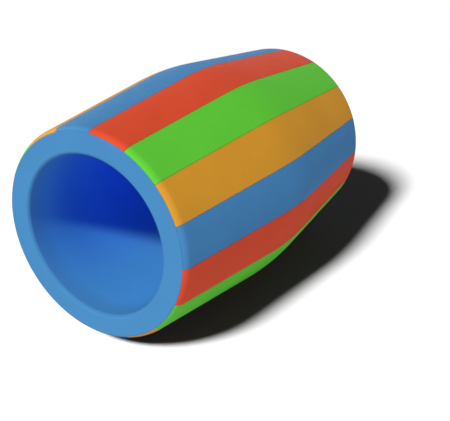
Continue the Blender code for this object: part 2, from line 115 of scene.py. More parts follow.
level = Vector((math.cos(AZIMUTH), math.sin(AZIMUTH), 0))
backwards = Vector((
    math.sin(AZIMUTH) * math.cos(ELEVATION),
    -math.cos(AZIMUTH) * math.cos(ELEVATION),
    math.sin(ELEVATION),
))
upright = backwards.cross(level)
across = math.cos(TILT) * level + math.sin(TILT) * upright
upwards = math.cos(TILT) * upright - math.sin(TILT) * level
turn = Matrix((across, upwards, backwards)).transposed()
to_barrel = Vector((BARREL_IN_VIEW.x, BARREL_IN_VIEW.y, -BARREL_IN_VIEW.z))
camera_place = Vector((0, 0, AXLE)) - turn @ to_barrel

camera = bpy.data.objects.new("camera", bpy.data.cameras.new("camera"))
bpy.context.scene.collection.objects.link(camera)
camera.data.sensor_width = 36
camera.data.lens = FOCAL_PIXELS / IMAGE_WIDTH * camera.data.sensor_width
camera.matrix_world = Matrix.Translation(camera_place) @ turn.to_4x4()
bpy.context.scene.camera = camera
bpy.context.scene.view_settings.view_transform = "Standard"
print("camera at", [round(c, 3) for c in camera.location], "lens", round(camera.data.lens, 2))

# %% [markdown]
# ## Light
#
# The shadow in the photograph falls straight behind the barrel, so the main light stands in
# front of the near mouth. It's a sun with a wide disc, which gives the shadow its soft edge.
# The line between sunlight and shade inside the bore gives the sun's height over the
# barrel, and the shadow's length gives it over the floor. The two differ, so the barrel and
# the floor each have a sun of their own.

# %% Two suns
SUN_DIRECTION = Vector((0.012, -0.700, 0.710))
SUN_STRENGTH = 2.9
SUN_DISC = math.radians(7)
FLOOR_SUN_DIRECTION = Vector((-0.021, -0.752, 0.659))
FLOOR_SUN_STRENGTH = 126.0
FLOOR_SUN_DISC = math.radians(10)
SUN_DISTANCE = 5


def add_lamp(name, kind, place, target, strength, **settings):
    """A lamp at a place, turned to a target, with further settings of its light."""
    data = bpy.data.lights.new(name, kind)
    data.energy = strength
    for key, value in settings.items():
        setattr(data, key, value)
    lamp = bpy.data.objects.new(name, data)
    bpy.context.scene.collection.objects.link(lamp)
    lamp.location = place
    lamp.rotation_mode = "QUATERNION"
    lamp.rotation_quaternion = (Vector(target) - Vector(place)).to_track_quat("-Z", "Y")
    return lamp


def add_sun(name, direction, strength, **settings):
    """A sun that stands in a direction from the frame's origin."""
    return add_lamp(name, "SUN", direction * SUN_DISTANCE, (0, 0, 0), strength, **settings)


def height_of(direction):
    """The angle in degrees between a direction and the floor."""
    return round(math.degrees(math.atan2(direction.z, math.hypot(direction.x, direction.y))), 1)


sun = add_sun("sun", SUN_DIRECTION, SUN_STRENGTH, angle=SUN_DISC)
floor_sun = add_sun("floor_sun", FLOOR_SUN_DIRECTION, FLOOR_SUN_STRENGTH, angle=FLOOR_SUN_DISC)
print("sun heights", height_of(SUN_DIRECTION), height_of(FLOOR_SUN_DIRECTION), "degrees")

# %% [markdown]
# The photograph's floor is pure white and its shadow an even, nearly black grey, while the
# stripes away from the sun stay bright. So the barrel's lamps leave the floor out, and the
# floor has, beside its strong sun, a faint sky and a faint veil of light without shadow. The
# sky darkens the floor close to the barrel, and the veil keeps the shadow from pure black.

# %% Sky and veil over the floor
FLOOR_SKY_STRENGTH = 0.85
FLOOR_SKY_DISC = math.radians(160)
FLOOR_VEIL_STRENGTH = 0.45
OVERHEAD = Vector((0, 0, 1))

floor_sky = add_sun("floor_sky", OVERHEAD, FLOOR_SKY_STRENGTH, angle=FLOOR_SKY_DISC)
floor_veil = add_sun("floor_veil", OVERHEAD, FLOOR_VEIL_STRENGTH, use_shadow=False)
print("floor lights", floor_sun.name, floor_sky.name, floor_veil.name)

# %% [markdown]
# Four round lamps stand about five metres off, as softboxes do in a studio, and brighten the
# sides that the sun leaves dark. The one on the right is slightly blue, because the stripes
# that it lights are cooler in the photograph than the sunlit ones.

# %% Fill lamps
# Each lamp's place and its power in watts; all of them face the barrel's middle.
FILL_LAMPS = {
    "fill_right": ((4.7, -1.0, 0.9), 67),
    "fill_front": ((-0.8, -5.0, 1.4), 60),
    "fill_left": ((-4.7, 0.4, 2.4), 65),
    "fill_back": ((-1.0, 5.0, 1.9), 8),
}
FILL_WIDTH = 2.4
FILL_RIGHT_COLOUR = (0.99, 0.98, 1.10)

fills = [
    add_lamp(name, "AREA", place, (0, 0, AXLE), power, shape="DISK", size=FILL_WIDTH)
    for name, (place, power) in FILL_LAMPS.items()
]
fills[0].data.color = FILL_RIGHT_COLOUR
print("fill lamps", [lamp.name for lamp in fills])

# %% [markdown]
# Light that crosses a blue bore many times turns a deep blue. The renderer follows few of
# those crossings, so a faint blue strip lamp lies along the axis, for the lining alone. It
# faces the wall that the sun doesn't reach.

# %% Strip lamp in the bore
STRIP_POWER = 0.82
STRIP_LENGTH, STRIP_WIDTH = 1.10, 0.10
STRIP_PLACE = Vector((0, 0.05, AXLE))
STRIP_AIM = Vector((-0.96, 0, 0.3))
STRIP_COLOUR = (0.0, 0.03, 1.0)

strip = add_lamp("bore_strip", "AREA", STRIP_PLACE, STRIP_PLACE + STRIP_AIM, STRIP_POWER,
                 shape="RECTANGLE", size=STRIP_LENGTH, size_y=STRIP_WIDTH, color=STRIP_COLOUR)
strip.visible_camera = False
lies_along = strip.rotation_quaternion.to_matrix().col[0]
print("lamps", len(bpy.data.lights), "and the strip lies along", [round(c, 2) for c in lies_along])

# %% [markdown]
# ## Node helpers
#
# Each finish is a small network of nodes. A few helpers keep the networks short: one makes
# any node and sets its values, one gives a new finish, and the others are the steps that
# come back in every network, such as a noise, a relief or a number read between two limits.

# %% Helpers for finishes
def add_node(tree, kind, inputs=None, **settings):
    """A node with its settings and input values; an input that is a socket is linked."""
    made = tree.nodes.new(kind)
    for key, value in settings.items():
        setattr(made, key, value)
    for key, value in (inputs or {}).items():
        if isinstance(value, bpy.types.NodeSocket):
            tree.links.new(value, made.inputs[key])
        else:
            made.inputs[key].default_value = value
    return made


def new_finish(name, colour, roughness, metallic=0.0, specular=0.5):
    """A Principled finish with one colour; returns the finish, its tree and its shader."""
    finish = bpy.data.materials.new(name)
    finish.use_nodes = True
    shader = finish.node_tree.nodes["Principled BSDF"]
    shader.inputs["Base Color"].default_value = (*colour, 1)
    shader.inputs["Roughness"].default_value = roughness
    shader.inputs["Metallic"].default_value = metallic
    shader.inputs["Specular IOR Level"].default_value = specular
    return finish, finish.node_tree, shader


def here(tree):
    """The place on a piece. Every piece lies at the origin, so it is the place in the frame."""
    return add_node(tree, "ShaderNodeTexCoord").outputs["Object"]


def maths(tree, operation, first, second=0.0):
    """A number worked out from one or two others."""
    return add_node(tree, "ShaderNodeMath", {0: first, 1: second}, operation=operation).outputs[0]


def noise(tree, spot, scale, detail):
    """A cloudy number about 0.5, with about as many clouds to the metre as the scale says."""
    inputs = {"Vector": spot, "Scale": scale, "Detail": detail}
    return add_node(tree, "ShaderNodeTexNoise", inputs).outputs["Fac"]


def between(tree, value, low, high, start=0.0, end=1.0):
    """A number that runs from low to high as the value runs from start to end."""
    ranged = {"Value": value, "From Min": start, "From Max": end, "To Min": low, "To Max": high}
    return add_node(tree, "ShaderNodeMapRange", ranged).outputs["Result"]


def mixed(tree, factor, first, second):
    """A colour between two colours, each given as three numbers or as a socket."""
    ends = [c if isinstance(c, bpy.types.NodeSocket) else (*c, 1) for c in (first, second)]
    mix = add_node(tree, "ShaderNodeMix", {0: factor, 6: ends[0], 7: ends[1]}, data_type="RGBA")
    return mix.outputs[2]


def bump(tree, height, depth, below=None):
    """A relief of a given depth, laid over another relief where one is given."""
    inputs = {"Height": height, "Distance": depth, "Strength": 1.0}
    if below is not None:
        inputs["Normal"] = below
    return add_node(tree, "ShaderNodeBump", inputs).outputs["Normal"]


print("helpers ready")

# %% [markdown]
# ## The floor
#
# The floor is white and wide. Close to the barrel it is plain paint that takes the shadow.
# Further off it turns into pure white for the camera alone, so that it has no horizon.

# %% Floor
FLOOR_HALF = 30
FADE_START, FADE_END = 1.9, 4.0
# How bright the floor's own colour is for the camera, and for the light that it throws back.
FLOOR_SEEN, FLOOR_BOUNCE = 0.040, 0.0225


def link_lamps(lamps, piece, name, state):
    """Let lamps light one piece alone (INCLUDE) or everything but that piece (EXCLUDE)."""
    receivers = bpy.data.collections.new(name)
    receivers.objects.link(piece)
    receivers.collection_objects[0].light_linking.link_state = state
    for lamp in lamps:
        lamp.light_linking.receiver_collection = receivers


floor_mesh = bpy.data.meshes.new("floor")
corners = [(x * FLOOR_HALF, y * FLOOR_HALF, 0) for x, y in ((-1, -1), (1, -1), (1, 1), (-1, 1))]
floor_mesh.from_pydata(corners, [], [(0, 1, 2, 3)])
floor = bpy.data.objects.new("floor", floor_mesh)
bpy.context.scene.collection.objects.link(floor)
link_lamps([floor_sun, floor_sky, floor_veil], floor, "floor_only", "INCLUDE")
link_lamps([sun, *fills], floor, "not_the_floor", "EXCLUDE")

paint, tree, shader = new_finish("floor_white", (0.97, 0.97, 0.97), 1.0, specular=0.0)
floor_mesh.materials.append(paint)
spot = here(tree)
distance = add_node(tree, "ShaderNodeVectorMath", {0: spot}, operation="LENGTH").outputs["Value"]
far_off = add_node(tree, "ShaderNodeMapRange", {
    "Value": distance, "From Min": FADE_START, "From Max": FADE_END,
}, interpolation_type="SMOOTHSTEP").outputs["Result"]
seen = add_node(tree, "ShaderNodeLightPath").outputs["Is Camera Ray"]
tone = mixed(tree, seen, (FLOOR_BOUNCE,) * 3, (FLOOR_SEEN,) * 3)
tree.links.new(tone, shader.inputs["Base Color"])
share = maths(tree, "MULTIPLY", far_off, seen)
glow = add_node(tree, "ShaderNodeEmission", {"Color": (1, 1, 1, 1), "Strength": 1.0})
fade = add_node(tree, "ShaderNodeMixShader", {0: share, 1: shader.outputs[0], 2: glow.outputs[0]})
tree.links.new(fade.outputs[0], tree.nodes["Material Output"].inputs["Surface"])
print("floor", 2 * FLOOR_HALF, "m wide")

# %% [markdown]
# The world is white for the camera and in reflections, which gives the zip's metal something
# to mirror, and dim for everything else, so that only the lamps light the barrel.

# %% World
WORLD_LIGHT = 0.05

world = bpy.data.worlds.new("world")
bpy.context.scene.world = world
world.use_nodes = True
tree = world.node_tree
paths = add_node(tree, "ShaderNodeLightPath").outputs
mirrored = maths(tree, "MAXIMUM", paths["Is Glossy Ray"], paths["Is Transmission Ray"])
shown = maths(tree, "MAXIMUM", paths["Is Camera Ray"], mirrored)
backdrop = tree.nodes["Background"]
backdrop.inputs["Color"].default_value = (1, 1, 1, 1)
tree.links.new(between(tree, shown, WORLD_LIGHT, 1.0), backdrop.inputs["Strength"])
print("world", world.name, "with a light of", WORLD_LIGHT)


# %% [markdown]
# ## The finishes
#
# The cover is woven polyester coated with vinyl: matt, with a fine pebbled grain, slightly
# uneven in tone where the foam below presses it, and darker in the seams, which is painted
# shade. One function makes all four colours and the lining. It reads the seam attribute that
# the pieces carry, which is 1 in a seam and falls to 0 away from it.

# %% Vinyl
VINYL_ROUGHNESS = 0.55
VINYL_SPECULAR = 0.055
# Noise seldom leaves these limits.
NOISE_SPAN = (0.3, 0.7)
# Slow changes of tone and of roughness: so many to the metre, between two limits.
TONE_SCALE, GLOSS_SCALE = 6.0, 38.0
TONE_DARK, TONE_LIGHT = 0.965, 1.03
GLOSS_LIMITS = (VINYL_ROUGHNESS - 0.05, VINYL_ROUGHNESS + 0.07)
# The reliefs of the pebbled grain and of the soft unevenness: so many to the metre, so deep.
PEBBLE_SCALE, UNEVEN_SCALE = 620, 90.0
PEBBLE_DEPTH, UNEVEN_DEPTH = 0.00006, 0.00012
# Down in a seam this share of the colour is the darker tone, a painted shade.
SEAM_SHADE_SHARE, SEAM_SHADE_TONE = 0.2, 0.5
# The lining's painted bounce light fades into the rings' blue between these distances from the
# barrel's middle.
PAINTED_BOUNCE_FADE = (HALF - 0.09, HALF - 0.01)


def scaled(colour, factor):
    """A colour made darker or lighter."""
    return tuple(c * factor for c in colour)


def vinyl(name, colour, at_mouth=None):
    """Coated fabric: tone and gloss vary slowly, seams are darker with painted shade, and two
    reliefs lie on each other, a fine pebbled grain over soft unevenness. Deeper in the bore
    the lining's colour is painted bounce light, and at the mouths it fades into the plain blue."""
    finish, tree, shader = new_finish(name, colour, VINYL_ROUGHNESS, specular=VINYL_SPECULAR)
    spot = here(tree)
    clouds = between(tree, noise(tree, spot, TONE_SCALE, 4.0), 0, 1, *NOISE_SPAN)
    tone = mixed(tree, clouds, scaled(colour, TONE_DARK), scaled(colour, TONE_LIGHT))
    # Towards the mouths the lining's painted bounce light fades into the plain blue.
    if at_mouth:
        along = add_node(tree, "ShaderNodeSeparateXYZ", {0: spot}).outputs["Y"]
        depth = maths(tree, "ABSOLUTE", along)
        tone = mixed(tree, between(tree, depth, 0, 1, *PAINTED_BOUNCE_FADE), tone, at_mouth)
    # The seam attribute darkens the colour beside the seams: a painted shade.
    seam = add_node(tree, "ShaderNodeAttribute", attribute_name="seam").outputs["Fac"]
    tone = mixed(tree, between(tree, seam, 0, SEAM_SHADE_SHARE), tone, scaled(colour, SEAM_SHADE_TONE))
    tree.links.new(tone, shader.inputs["Base Color"])
    gloss = between(tree, noise(tree, spot, GLOSS_SCALE, 5.0), *GLOSS_LIMITS, *NOISE_SPAN)
    tree.links.new(gloss, shader.inputs["Roughness"])
    unevenness = bump(tree, noise(tree, spot, UNEVEN_SCALE, 2.0), UNEVEN_DEPTH)
    pebbles = add_node(tree, "ShaderNodeTexVoronoi", {"Vector": spot, "Scale": PEBBLE_SCALE},
                       feature="SMOOTH_F1").outputs["Distance"]
    tree.links.new(bump(tree, pebbles, PEBBLE_DEPTH, unevenness), shader.inputs["Normal"])
    return finish


BLUE = (0.056, 0.220, 0.455)
VINYLS = {
    "red": vinyl("vinyl_red", (0.68, 0.072, 0.027)),
    "green": vinyl("vinyl_green", (0.112, 0.56, 0.039)),
    "orange": vinyl("vinyl_orange", (0.64, 0.295, 0.026)),
    "blue": vinyl("vinyl_blue", BLUE),
}
# The lining is the rings' blue vinyl; its lighter, more saturated colour is painted bounce light
# inside the bore.
LINING_WITH_PAINTED_BOUNCE = vinyl("vinyl_lining_painted_bounce", (0.060, 0.270, 0.58), at_mouth=BLUE)
print("vinyls", sorted(VINYLS))


# %% [markdown]
# The foam is pale and full of small cells. The zip tape is a tight weave, so its relief is
# two sets of waves at right angles: one along the barrel, and one that counts the angle
# round the barrel's axis. The coils and the thread are smooth nylon, and the slider, pull
# and stops are plated metal with a fine brushed grain.

# %% Foam and tape
FOAM_COLOUR = (0.75, 0.70, 0.55)
# Each cell's pit is darker, a painted shade, and its edge paler.
CELL_PIT_SHADE, CELL_EDGE = (0.60, 0.54, 0.40), (0.80, 0.76, 0.62)
CELL_SCALE, CELL_DEPTH = 700.0, 0.0004
# The weave's hollows take the darker colour, a painted shade, and its crossings the lighter one, a
# painted light.
TAPE_HOLLOW_SHADE, TAPE_CROSSING_LIGHT = (0.022, 0.080, 0.22), (0.040, 0.125, 0.31)
TAPE_THREAD, TAPE_RELIEF = 0.0009, 0.00012


def foam_finish():
    """Open cells: each one is a pit darkened with painted shade, with a paler edge."""
    finish, tree, shader = new_finish("foam", FOAM_COLOUR, 0.95, specular=0.2)
    inputs = {"Vector": here(tree), "Scale": CELL_SCALE}
    cells = add_node(tree, "ShaderNodeTexVoronoi", inputs).outputs["Distance"]
    tone = mixed(tree, between(tree, cells, 0, 1, 0.0, 0.7), CELL_PIT_SHADE, CELL_EDGE)
    tree.links.new(tone, shader.inputs["Base Color"])
    tree.links.new(bump(tree, cells, CELL_DEPTH), shader.inputs["Normal"])
    return finish


def tape_finish():
    """A weave whose crossings are counted along Y and by the angle round the axis: the
    product of two sine waves, with one thread to a wave. The colour follows the relief:
    darker in the hollows as painted shade, lighter on the crossings as painted light."""
    finish, tree, shader = new_finish("zip_tape", TAPE_HOLLOW_SHADE, 0.85, specular=0.2)
    place = add_node(tree, "ShaderNodeSeparateXYZ", {0: here(tree)}).outputs
    height = maths(tree, "SUBTRACT", place["Z"], AXLE)
    angle = maths(tree, "ARCTAN2", height, place["X"])
    to_metre = 2 * math.pi / TAPE_THREAD
    waves = [
        maths(tree, "SINE", maths(tree, "MULTIPLY", value, count))
        for value, count in ((place["Y"], to_metre), (angle, round(TAPE_RADIUS * to_metre)))
    ]
    weave = maths(tree, "MULTIPLY", *waves)
    tone = mixed(tree, between(tree, weave, 0, 1, -1, 1), TAPE_HOLLOW_SHADE, TAPE_CROSSING_LIGHT)
    tree.links.new(tone, shader.inputs["Base Color"])
    tree.links.new(bump(tree, weave, TAPE_RELIEF), shader.inputs["Normal"])
    return finish


FOAM, TAPE = foam_finish(), tape_finish()
print("made", FOAM.name, TAPE.name)

# %% Nylon and metal
NYLON_SCALE, NYLON_DEPTH = 900.0, 0.00003
METAL_COLOUR = (0.60, 0.61, 0.63)
# The metal's brushing: its scratches to the metre along X, Y and Z, and its roughness.
BRUSHING_SCALES = (250, 5000, 5000)
BRUSHING_LIMITS = (0.24, 0.34)


def nylon_finish(name, colour, roughness):
    """Smooth nylon with a slightly uneven tone and surface."""
    finish, tree, shader = new_finish(name, colour, roughness)
    clouds = noise(tree, here(tree), NYLON_SCALE, 2.0)
    tone = mixed(tree, clouds, scaled(colour, 0.8), scaled(colour, 1.2))
    tree.links.new(tone, shader.inputs["Base Color"])
    tree.links.new(bump(tree, clouds, NYLON_DEPTH), shader.inputs["Normal"])
    return finish


def plated_finish():
    """Plated metal. Its brushing runs along X, so the noise is drawn out along X."""
    finish, tree, shader = new_finish("zip_metal", METAL_COLOUR, 0.28, metallic=1.0)
    stretch = {0: here(tree), 1: BRUSHING_SCALES}
    drawn = add_node(tree, "ShaderNodeVectorMath", stretch, operation="MULTIPLY").outputs[0]
    brushing = between(tree, noise(tree, drawn, 1.0, 1.0), *BRUSHING_LIMITS, *NOISE_SPAN)
    tree.links.new(brushing, shader.inputs["Roughness"])
    return finish


METAL = plated_finish()
NYLON = nylon_finish("zip_nylon", (0.030, 0.100, 0.27), 0.35)
THREAD = nylon_finish("thread", (0.050, 0.210, 0.50), 0.6)
print("finishes", len(bpy.data.materials))


# %% [markdown]
# ## From numbers to a mesh
#
# A piece is worked out as a grid of points: rows along one line, columns along another. A
# quad joins each four neighbours. One helper turns such a grid into an object. It can close
# the grid round its columns, leave out some quads, carry numbers for the finish, and give
# the sheet its thickness on the side away from its face.

# %% Grid to object
def around(radius, angle, place):
    """Points at a radius from the barrel's axis, at an angle round it and a place along Y."""
    radius, angle, place = np.broadcast_arrays(radius, angle, place)
    return np.stack([radius * np.cos(angle), place, AXLE + radius * np.sin(angle)], axis=-1)


def new_piece(name, points, faces, finish, body="barrel"):
    """An object from points and faces, shaded smooth, that rides on a body."""
    mesh = bpy.data.meshes.new(name)
    mesh.from_pydata(points, [], faces)
    mesh.shade_smooth()
    mesh.materials.append(finish)
    piece = bpy.data.objects.new(name, mesh)
    bpy.context.scene.collection.objects.link(piece)
    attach(piece, body)
    return piece


def sheet_piece(name, grid, finish, facing, thickness, wrap=False, kept=None, seam=None):
    """A grid of points as a sheet. Facing is the way its middle looks. Kept says which quads
    are there. Seam is a number at each point that the finish reads as painted shade."""
    rows, columns = grid.shape[:2]
    index = np.arange(rows * columns).reshape(rows, columns)
    after = np.roll(index, -1, axis=1) if wrap else index[:, 1:]
    before = index if wrap else index[:, :-1]
    quads = np.stack([before[:-1], after[:-1], after[1:], before[1:]], axis=-1)
    middle = quads[quads.shape[0] // 2, quads.shape[1] // 2]
    flat = grid.reshape(-1, 3)
    normal = np.cross(flat[middle[2]] - flat[middle[0]], flat[middle[3]] - flat[middle[1]])
    if normal @ np.array(facing) < 0:
        quads = quads[..., ::-1]
    quads = quads.reshape(-1, 4) if kept is None else quads[kept]
    used, faces = np.unique(quads, return_inverse=True)
    piece = new_piece(name, flat[used], faces.reshape(-1, 4).tolist(), finish)
    if seam is not None:
        attribute = piece.data.attributes.new("seam", "FLOAT", "POINT")
        attribute.data.foreach_set("value", seam.reshape(-1)[used].astype(np.float32))
    if thickness:
        wall = piece.modifiers.new("thickness", "SOLIDIFY")
        wall.thickness = thickness
        wall.offset = -1
        wall.use_even_offset = True
    return piece


print("grid helper ready")


# %% [markdown]
# ## Seams
#
# Where two pieces of the cover meet, each one's edge rolls over and goes down between them
# as a seam allowance. Seen from outside there is only a fine groove. Every sewn edge here
# uses the same two short lists: how far each point is from the seam, and how deep it has
# sunk. The allowance's points are all at the seam, the roll's lie on a quarter circle.

# %% Rolled edge
ROLL = 0.0014
ALLOWANCE_DEPTHS = np.array([SEAM_ALLOWANCE, 0.0055, 0.0033])
ALLOWANCE_COUNT = len(ALLOWANCE_DEPTHS)
ROLL_TURNS = np.radians([0, 22.5, 45, 67.5, 90])
EDGE_DISTANCE = np.concatenate([np.zeros(ALLOWANCE_COUNT), ROLL * (1 - np.cos(ROLL_TURNS))])
EDGE_DEPTH = np.concatenate([ALLOWANCE_DEPTHS, ROLL * (1 - np.sin(ROLL_TURNS))])
EDGE_COUNT = len(EDGE_DISTANCE)
# How far the seam's shade and the puckers reach, and the puckers' depth and wavelengths.
SHADE_REACH = 0.0016
PUCKER_DEPTH = 0.00016
PUCKER_LENGTHS = (0.021, 0.034, 0.055)
PUCKER_REACH = 0.011


def seam_shade(distance):
    """The painted shade beside a seam: 1 in the seam, falling off as an exponential within a few
    millimetres. A point down in an allowance has a distance below 0, which also gives 1."""
    return np.exp(-np.maximum(distance, 0) / SHADE_REACH)


def puckers(along, distance, seed):
    """The small hollows that a tight seam pulls in the vinyl: the mean of three waves of
    uneven length along the seam, times an exponential that fades across it."""
    rng = np.random.default_rng(seed)
    total = 0
    for length in PUCKER_LENGTHS:
        total = total + np.sin(2 * np.pi * along / length + rng.uniform(0, 2 * np.pi))
    return PUCKER_DEPTH * (1 - total / len(PUCKER_LENGTHS)) * np.exp(-distance / PUCKER_REACH)


print("rolled edge", EDGE_COUNT, "points,", SEAM_ALLOWANCE, "m deep")


# %% [markdown]
# ## The striped cover
#
# The barrel's side is a straight cone, a gentle crown in the middle, and a straight cone
# again. At each end it bends over a wide shoulder to the seam of the end's ring. Along the
# side the direction square to it turns evenly on the arcs and stays put on the straights.
# So the line is found by adding up short steps along its direction.

# %% The side's line
# The cone's slope: its line touches the crown's circle and runs to the end's radius.
CROWN_TO_END = CROWN_RADIUS - (MIDDLE_RADIUS - END_RADIUS)
CONE = math.atan2(HALF, CROWN_TO_END) - math.acos(CROWN_RADIUS / math.hypot(CROWN_TO_END, HALF))
# The rim's seam looks halfway between the side's direction and the end's.
RIM_SEAM = (math.pi / 2 + CONE) / 2
# The centres of the ring's edge and of the shoulder: both are square below the seam.
RIM_PLACE = HALF - RING_EDGE
SHOULDER_PLACE = RIM_PLACE - (SHOULDER - RING_EDGE) * math.sin(RIM_SEAM)
SHOULDER_RADIUS = END_RADIUS + (HALF - SHOULDER_PLACE) * math.tan(CONE) - SHOULDER / math.cos(CONE)
RIM_RADIUS = SHOULDER_RADIUS + (SHOULDER - RING_EDGE) * math.cos(RIM_SEAM)
SHOULDER_ARC = SHOULDER * (RIM_SEAM - CONE)
# The weight of the barrel presses it this far flat where it touches the floor.
PRESSED = 0.0004
SIDE_POINTS = 24001


def side_line():
    """Length, radius, place and outward direction along the side, near end to far end. The
    direction turns evenly over each arc; radius and place are the sums of short steps whose
    parts are the negative sine and the cosine of the direction."""
    sine, cosine = math.sin(CONE), math.cos(CONE)
    crown_end = (MIDDLE_RADIUS - CROWN_RADIUS * (1 - cosine), CROWN_RADIUS * sine)
    shoulder_start = (SHOULDER_RADIUS + SHOULDER * cosine, SHOULDER_PLACE + SHOULDER * sine)
    straight = math.dist(crown_end, shoulder_start)
    spans = [SHOULDER_ARC, straight, CROWN_RADIUS * 2 * CONE, straight, SHOULDER_ARC]
    knots = np.concatenate([[0], np.cumsum(spans)])
    turns = np.array([-RIM_SEAM, -CONE, -CONE, CONE, CONE, RIM_SEAM])
    length = np.linspace(0, knots[-1], SIDE_POINTS)
    direction = np.interp(length, knots, turns)
    step = np.diff(length)
    halfway = (direction[1:] + direction[:-1]) / 2
    first_radius = RIM_RADIUS + RING_EDGE * math.cos(RIM_SEAM) + PRESSED
    first_place = -RIM_PLACE - RING_EDGE * math.sin(RIM_SEAM)
    radius = first_radius + np.concatenate([[0], np.cumsum(-np.sin(halfway) * step)])
    place = first_place + np.concatenate([[0], np.cumsum(np.cos(halfway) * step)])
    return length, radius, place, direction


SIDE = side_line()
SIDE_LENGTH = SIDE[0][-1]
print("cone", round(math.degrees(CONE), 2), "degrees; side", round(SIDE_LENGTH, 4), "m long;",
      "largest radius", round(SIDE[1].max(), 4))

# %% [markdown]
# A panel is a grid over that line. Its rows run round the barrel and its columns along it,
# and both begin and end with a rolled edge. The four corners, where two allowances would
# meet, are cut away, as a machinist does. The panel that the barrel lies on is pressed flat
# by the floor.

# %% One panel's grid
SHOULDER_ROWS, SIDE_ROWS = 15, 201
ACROSS_POINTS = 19
# No puckers come this close to a panel's end, where the rim's own seam holds the vinyl flat.
PUCKER_FREE = 0.03
# The foam below makes the panel's middle rise and fall by up to twice this depth, in slow
# waves along the side: so many radians to the metre, each panel out of step with the last.
SWELL_DEPTH = 0.00018
SWELL_WAVES = 23
SWELL_OFFSET = 2.1


def along_side():
    """Distances along the side for the rows, closer together on the shoulders."""
    return np.concatenate([
        np.linspace(ROLL, SHOULDER_ARC, SHOULDER_ROWS)[1:],
        np.linspace(SHOULDER_ARC, SIDE_LENGTH - SHOULDER_ARC, SIDE_ROWS)[1:-1],
        np.linspace(SIDE_LENGTH - SHOULDER_ARC, SIDE_LENGTH - ROLL, SHOULDER_ROWS)[:-1],
    ])


def panel_grid(number):
    """A panel's points, its painted seam shade and the quads that are there. A point is found on
    the side's line by its length, goes round by its distance from the panel's edge, and is
    sunk square to the side by the edge's depth, the puckers and the swell."""
    inner = along_side()
    length = np.concatenate([EDGE_DISTANCE, inner, (SIDE_LENGTH - EDGE_DISTANCE)[::-1]])[:, None]
    end_depth = np.concatenate([EDGE_DEPTH, np.zeros(len(inner)), EDGE_DEPTH[::-1]])[:, None]
    radius, place, direction = (np.interp(length, SIDE[0], line) for line in SIDE[1:])
    share = 0.5 - 0.5 * np.cos(np.linspace(0, np.pi, ACROSS_POINTS))[1:-1]
    width = radius * PANEL_ANGLE - GAP
    left = np.broadcast_to(EDGE_DISTANCE, (len(length), EDGE_COUNT))
    between_edges = ROLL + share * (width - 2 * ROLL)
    offset = np.concatenate([left, between_edges, (width - left)[:, ::-1]], axis=1)
    side_depth = np.concatenate([EDGE_DEPTH, np.zeros(len(share)), EDGE_DEPTH[::-1]])
    from_side = np.minimum(offset, width - offset)
    from_end = np.minimum(length, SIDE_LENGTH - length)
    hollow = puckers(length, from_side, number) * (from_end > PUCKER_FREE)
    wave = 1 + np.sin(length * SWELL_WAVES + number * SWELL_OFFSET)
    swell = SWELL_DEPTH * wave * np.sin(np.pi * offset / width) ** 2
    depth = end_depth + side_depth + (hollow + swell) * (side_depth == 0)
    angle = FIRST_SEAM - number * PANEL_ANGLE - (GAP / 2 + offset) / radius
    points = around(radius - np.cos(direction) * depth, angle, place - np.sin(direction) * depth)
    points[..., 2] = np.maximum(points[..., 2], 0)
    rows, columns = len(length) - 1, offset.shape[1] - 1
    kept = np.ones((rows, columns), bool)
    for end in (slice(0, ALLOWANCE_COUNT), slice(rows - ALLOWANCE_COUNT, rows)):
        kept[end, :EDGE_COUNT - 1] = False
        kept[end, columns - EDGE_COUNT + 1:] = False
    down = end_depth + side_depth > ROLL
    # Painted shade: the vinyl is darkened beside the panel's seams.
    shade = seam_shade(np.minimum(from_side, from_end) - down)
    return points, shade, kept


print("a panel's grid", panel_grid(0)[0].shape[:2])

# %% Panels
for number in range(PANEL_COUNT):
    colour = COLOUR_ORDER[number % len(COLOUR_ORDER)]
    points, shade, kept = panel_grid(number)
    middle = FIRST_SEAM - (number + 0.5) * PANEL_ANGLE
    facing = (math.cos(middle), 0, math.sin(middle))
    name = f"stripe_{number + 1:02d}_{colour}"
    panel = sheet_piece(name, points, VINYLS[colour], facing, VINYL, kept=kept, seam=shade)
    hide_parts(f"cover_panel_{number + 1:02d}_{colour}")


# %% [markdown]
# ## Rings, lining and collar
#
# The other vinyl pieces go all the way round. Each is a line of radius and place, with the
# direction that its face looks in, swept through a full turn. An end ring runs from the
# middle of the rounded edge at the mouth, over the flat, round a narrow edge to the rim's
# seam. A sewn edge gets the same roll and allowance as the panels. The lining and the
# collar end at the zip, where the vinyl is cut straight.

# %% Turned sheets
ROUND_COUNT = 320
ROUND = np.linspace(0, 2 * np.pi, ROUND_COUNT, endpoint=False)


